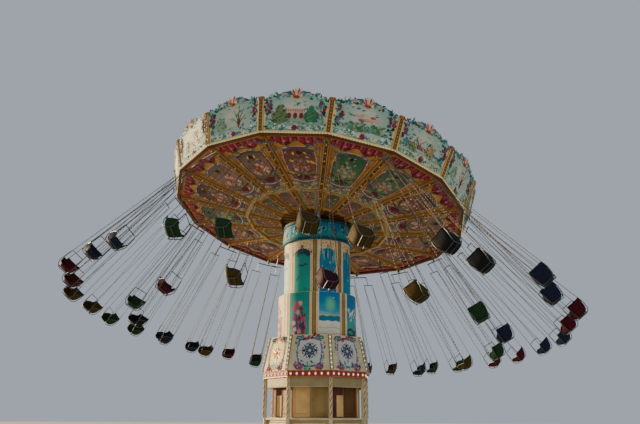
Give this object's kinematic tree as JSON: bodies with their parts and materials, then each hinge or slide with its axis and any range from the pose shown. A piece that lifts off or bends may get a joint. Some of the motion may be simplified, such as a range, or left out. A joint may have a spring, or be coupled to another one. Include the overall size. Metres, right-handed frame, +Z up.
{
  "type": "chair swing ride",
  "caption": "Fairground chair swing ride: tilted round canopy on a telescopic tower, chairs on chains flung outwards, over an eight-sided pavilion base.",
  "frame": {"origin": "on the ground under the tower's axis, at the middle of the base frame's bottom plate", "axes": "+Z up the tower, -Y towards the public side that the picture shows, +X to the right seen from there"},
  "size_m": [18.7401, 18.6127, 11.9667],
  "materials": {
    "steel": "satin grey paint",
    "floor": "chequer plate",
    "panel": "satin paint",
    "cream": "gloss cream paint",
    "timber": "varnished board",
    "red": "gloss red paint with bulbs",
    "painted_scene": "painted seaside panels between cream pilasters",
    "blue": "gloss blue paint",
    "ceiling": "painted panels and gold ribs",
    "gold": "gold paint",
    "board": "painted fibreglass boards",
    "roof_sheet": "pale painted roof sheets",
    "seat_orange": "moulded fibreglass",
    "seat_green": "moulded fibreglass",
    "seat_red": "moulded fibreglass",
    "seat_blue": "moulded fibreglass",
    "seat_yellow": "moulded fibreglass",
    "seat_teal": "moulded fibreglass"
  },
  "bodies": {
    "base": {"base_frame": "steel", "deck_floor": "floor", "skirt_wall": "panel", "pavilion_frame": "cream", "machine_core": "timber", "bulb_band": "red", "cresting": "cream", "pavilion_roof": "steel"},
    "lower_tower": {"lower_column": "painted_scene"},
    "upper_tower": {"upper_column": "painted_scene", "collar": "blue", "tilt_yoke": "steel"},
    "tilt_head": {"tilt_head": "steel"},
    "canopy": {"canopy_hub": "steel", "ceiling_inner": "ceiling", "ceiling_outer": "ceiling", "rim_beam": "gold", "rounding_boards": "board", "roof_cover": "roof_sheet"},
    "outer_pair_01": {"outer_pair_01": "seat_orange"},
    "inner_swing_01": {"inner_swing_01": "seat_orange"},
    "outer_pair_02": {"outer_pair_02": "seat_green"},
    "inner_swing_02": {"inner_swing_02": "seat_green"},
    "outer_pair_03": {"outer_pair_03": "seat_red"},
    "inner_swing_03": {"inner_swing_03": "seat_red"},
    "outer_pair_04": {"outer_pair_04": "seat_blue"},
    "inner_swing_04": {"inner_swing_04": "seat_blue"},
    "outer_pair_05": {"outer_pair_05": "seat_yellow"},
    "inner_swing_05": {"inner_swing_05": "seat_yellow"},
    "outer_pair_06": {"outer_pair_06": "seat_teal"},
    "inner_swing_06": {"inner_swing_06": "seat_teal"},
    "outer_pair_07": {"outer_pair_07": "seat_orange"},
    "inner_swing_07": {"inner_swing_07": "seat_orange"},
    "outer_pair_08": {"outer_pair_08": "seat_green"},
    "inner_swing_08": {"inner_swing_08": "seat_green"},
    "outer_pair_09": {"outer_pair_09": "seat_red"},
    "inner_swing_09": {"inner_swing_09": "seat_red"},
    "outer_pair_10": {"outer_pair_10": "seat_blue"},
    "inner_swing_10": {"inner_swing_10": "seat_blue"},
    "outer_pair_11": {"outer_pair_11": "seat_yellow"},
    "inner_swing_11": {"inner_swing_11": "seat_yellow"},
    "outer_pair_12": {"outer_pair_12": "seat_teal"},
    "inner_swing_12": {"inner_swing_12": "seat_teal"},
    "outer_pair_13": {"outer_pair_13": "seat_orange"},
    "inner_swing_13": {"inner_swing_13": "seat_orange"},
    "outer_pair_14": {"outer_pair_14": "seat_green"},
    "inner_swing_14": {"inner_swing_14": "seat_green"},
    "outer_pair_15": {"outer_pair_15": "seat_red"},
    "inner_swing_15": {"inner_swing_15": "seat_red"},
    "outer_pair_16": {"outer_pair_16": "seat_blue"},
    "inner_swing_16": {"inner_swing_16": "seat_blue"}
  },
  "joints": [
    {"name": "tower_lift", "type": "slide", "parent": "base", "child": "lower_tower", "axis": [0, 0, 1], "range_m": [-1.25, 0]},
    {"name": "upper_lift", "type": "slide", "parent": "lower_tower", "child": "upper_tower", "axis": [0, 0, 1], "range_m": [-1.75, 0]},
    {"name": "canopy_tilt", "type": "hinge", "parent": "upper_tower", "child": "tilt_head", "pos_m": [0, 0, 8.95], "axis": [-0.7986, 0.6018, 0], "range_deg": [-12.1, 0]},
    {"name": "canopy_spin", "type": "hinge", "parent": "tilt_head", "child": "canopy", "pos_m": [0, 0, 8.95], "axis": [0.1262, 0.1674, 0.9778], "continuous": true},
    {"name": "outer_swing_01", "type": "hinge", "parent": "canopy", "child": "outer_pair_01", "pos_m": [5.44213, 0.15544, 8.3187], "axis": [0.1908, -0.9713, 0.1417], "range_deg": [-49.3, 8]},
    {"name": "inner_swing_01_hinge", "type": "hinge", "parent": "canopy", "child": "inner_swing_01", "pos_m": [4.09171, 0.09131, 8.32054], "axis": [0.2431, -0.9608, 0.1331], "range_deg": [-39.53, 6.42]},
    {"name": "outer_swing_02", "type": "hinge", "parent": "canopy", "child": "outer_pair_02", "pos_m": [4.93018, 2.21164, 8.0327], "axis": [0.4944, -0.8651, 0.0843], "range_deg": [-51.87, 8]},
    {"name": "inner_swing_02_hinge", "type": "hinge", "parent": "canopy", "child": "inner_swing_02", "pos_m": [3.70495, 1.64472, 8.10448], "axis": [0.5203, -0.8503, 0.0785], "range_deg": [-41.95, 6.48]},
    {"name": "outer_swing_03", "type": "hinge", "parent": "canopy", "child": "outer_pair_03", "pos_m": [3.66949, 3.93357, 7.90054], "axis": [0.7451, -0.6667, 0.018], "range_deg": [-53.05, 8]},
    {"name": "inner_swing_03_hinge", "type": "hinge", "parent": "canopy", "child": "inner_swing_03", "pos_m": [2.75253, 2.9456, 8.00463], "axis": [0.7492, -0.6621, 0.0167], "range_deg": [-43.05, 6.5]},
    {"name": "outer_swing_04", "type": "hinge", "parent": "canopy", "child": "outer_pair_04", "pos_m": [1.85198, 5.05908, 7.94233], "axis": [0.9164, -0.397, -0.0503], "range_deg": [-52.67, 8]},
    {"name": "inner_swing_04_hinge", "type": "hinge", "parent": "canopy", "child": "inner_swing_04", "pos_m": [1.37944, 3.79589, 8.0362], "axis": [0.9095, -0.4131, -0.0466], "range_deg": [-42.7, 6.5]},
    {"name": "outer_swing_05", "type": "hinge", "parent": "canopy", "child": "outer_pair_05", "pos_m": [-0.24565, 5.41681, 8.15171], "axis": [0.9899, -0.0854, -0.1131], "range_deg": [-50.8, 8]},
    {"name": "inner_swing_05_hinge", "type": "hinge", "parent": "canopy", "child": "inner_swing_05", "pos_m": [-0.20526, 4.06615, 8.19438], "axis": [0.9864, -0.1263, -0.1056], "range_deg": [-40.95, 6.46]},
    {"name": "outer_swing_06", "type": "hinge", "parent": "canopy", "child": "outer_pair_06", "pos_m": [-2.30405, 4.95232, 8.49681], "axis": [0.9575, 0.2372, -0.1641], "range_deg": [-47.68, 8]},
    {"name": "inner_swing_06_hinge", "type": "hinge", "parent": "canopy", "child": "inner_swing_06", "pos_m": [-1.76033, 3.71523, 8.4551], "axis": [0.9723, 0.1746, -0.1553], "range_deg": [-38, 6.39]},
    {"name": "outer_swing_07", "type": "hinge", "parent": "canopy", "child": "outer_pair_07", "pos_m": [-4.00985, 3.73631, 8.92509], "axis": [0.8167, 0.542, -0.1982], "range_deg": [-43.65, 8]},
    {"name": "inner_swing_07_hinge", "type": "hinge", "parent": "canopy", "child": "inner_swing_07", "pos_m": [-3.04902, 2.79657, 8.77865], "axis": [0.8624, 0.4687, -0.1915], "range_deg": [-34.13, 6.27]},
    {"name": "outer_swing_08", "type": "hinge", "parent": "canopy", "child": "outer_pair_08", "pos_m": [-5.10335, 1.9539, 9.37134], "axis": [0.5639, 0.7988, -0.2095], "range_deg": [-39.11, 8]},
    {"name": "inner_swing_08_hinge", "type": "hinge", "parent": "canopy", "child": "inner_swing_08", "pos_m": [-3.87513, 1.45001, 9.11578], "axis": [0.6461, 0.734, -0.209], "range_deg": [-29.69, 6.08]},
    {"name": "outer_swing_09", "type": "hinge", "parent": "canopy", "child": "outer_pair_09", "pos_m": [-5.41809, -0.12354, 9.76763], "axis": [0.1968, 0.9618, -0.1901], "range_deg": [-34.59, 8]},
    {"name": "inner_swing_09_hinge", "type": "hinge", "parent": "canopy", "child": "inner_swing_09", "pos_m": [-4.11291, -0.11944, 9.41517], "axis": [0.3038, 0.9318, -0.1987], "range_deg": [-25.1, 5.82]},
    {"name": "outer_swing_10", "type": "hinge", "parent": "canopy", "child": "outer_pair_10", "pos_m": [-4.90614, -2.17974, 10.05363], "axis": [-0.2612, 0.9565, -0.1301], "range_deg": [-30.89, 8]},
    {"name": "inner_swing_10_hinge", "type": "hinge", "parent": "canopy", "child": "inner_swing_10", "pos_m": [-3.72614, -1.67285, 9.63123], "axis": [-0.174, 0.9741, -0.1443], "range_deg": [-21.14, 5.48]},
    {"name": "outer_swing_11", "type": "hinge", "parent": "canopy", "child": "outer_pair_11", "pos_m": [-3.64545, -3.90167, 10.18579], "axis": [-0.7064, 0.7072, -0.0299], "range_deg": [-28.99, 8]},
    {"name": "inner_swing_11_hinge", "type": "hinge", "parent": "canopy", "child": "inner_swing_11", "pos_m": [-2.77372, -2.97372, 9.73108], "axis": [-0.6902, 0.7228, -0.0347], "range_deg": [-19, 5.25]},
    {"name": "outer_swing_12", "type": "hinge", "parent": "canopy", "child": "outer_pair_12", "pos_m": [-1.82794, -5.02717, 10.144], "axis": [-0.9646, 0.251, 0.0815], "range_deg": [-29.61, 8]},
    {"name": "inner_swing_12_hinge", "type": "hinge", "parent": "canopy", "child": "inner_swing_12", "pos_m": [-1.40064, -3.82402, 9.69951], "axis": [-0.9768, 0.193, 0.093], "range_deg": [-19.71, 5.34]},
    {"name": "outer_swing_13", "type": "hinge", "parent": "canopy", "child": "outer_pair_13", "pos_m": [0.26969, -5.38491, 9.93462], "axis": [-0.9576, -0.237, 0.1641], "range_deg": [-32.49, 8]},
    {"name": "inner_swing_13_hinge", "type": "hinge", "parent": "canopy", "child": "inner_swing_13", "pos_m": [0.18406, -4.09428, 9.54132], "axis": [-0.925, -0.3363, 0.1769], "range_deg": [-22.88, 5.64]},
    {"name": "outer_swing_14", "type": "hinge", "parent": "canopy", "child": "outer_pair_14", "pos_m": [2.32809, -4.92042, 9.58952], "axis": [-0.7589, -0.6185, 0.2038], "range_deg": [-36.7, 8]},
    {"name": "inner_swing_14_hinge", "type": "hinge", "parent": "canopy", "child": "inner_swing_14", "pos_m": [1.73913, -3.74336, 9.28061], "axis": [-0.6839, -0.6994, 0.208], "range_deg": [-27.26, 5.95]},
    {"name": "outer_swing_15", "type": "hinge", "parent": "canopy", "child": "outer_pair_15", "pos_m": [4.03389, -3.7044, 9.16124], "axis": [-0.466, -0.8601, 0.2074], "range_deg": [-41.3, 8]},
    {"name": "inner_swing_15_hinge", "type": "hinge", "parent": "canopy", "child": "inner_swing_15", "pos_m": [3.02782, -2.8247, 8.95706], "axis": [-0.3791, -0.9027, 0.2035], "range_deg": [-31.85, 6.18]},
    {"name": "outer_swing_16", "type": "hinge", "parent": "canopy", "child": "outer_pair_16", "pos_m": [5.12739, -1.922, 8.71499], "axis": [-0.1382, -0.9731, 0.1844], "range_deg": [-45.65, 8]},
    {"name": "inner_swing_16_hinge", "type": "hinge", "parent": "canopy", "child": "inner_swing_16", "pos_m": [3.85393, -1.47814, 8.61993], "axis": [-0.0626, -0.9824, 0.1763], "range_deg": [-36.07, 6.33]}
  ],
  "couplings": [
    {"joint": "upper_lift", "follows": "tower_lift", "ratio": 1.4},
    {"joint": "canopy_tilt", "follows": "tower_lift", "rad_per_m": 0.16895},
    {"joint": "inner_swing_01_hinge", "follows": "outer_swing_01", "ratio": 0.80182},
    {"joint": "inner_swing_02_hinge", "follows": "outer_swing_02", "ratio": 0.80875},
    {"joint": "inner_swing_03_hinge", "follows": "outer_swing_03", "ratio": 0.81149},
    {"joint": "inner_swing_04_hinge", "follows": "outer_swing_04", "ratio": 0.8107},
    {"joint": "inner_swing_05_hinge", "follows": "outer_swing_05", "ratio": 0.8061},
    {"joint": "inner_swing_06_hinge", "follows": "outer_swing_06", "ratio": 0.79697},
    {"joint": "inner_swing_07_hinge", "follows": "outer_swing_07", "ratio": 0.7819},
    {"joint": "inner_swing_08_hinge", "follows": "outer_swing_08", "ratio": 0.75914},
    {"joint": "inner_swing_09_hinge", "follows": "outer_swing_09", "ratio": 0.72564},
    {"joint": "inner_swing_10_hinge", "follows": "outer_swing_10", "ratio": 0.68436},
    {"joint": "inner_swing_11_hinge", "follows": "outer_swing_11", "ratio": 0.65539},
    {"joint": "inner_swing_12_hinge", "follows": "outer_swing_12", "ratio": 0.66565},
    {"joint": "inner_swing_13_hinge", "follows": "outer_swing_13", "ratio": 0.70421},
    {"joint": "inner_swing_14_hinge", "follows": "outer_swing_14", "ratio": 0.74277},
    {"joint": "inner_swing_15_hinge", "follows": "outer_swing_15", "ratio": 0.77118},
    {"joint": "inner_swing_16_hinge", "follows": "outer_swing_16", "ratio": 0.79014}
  ]
}
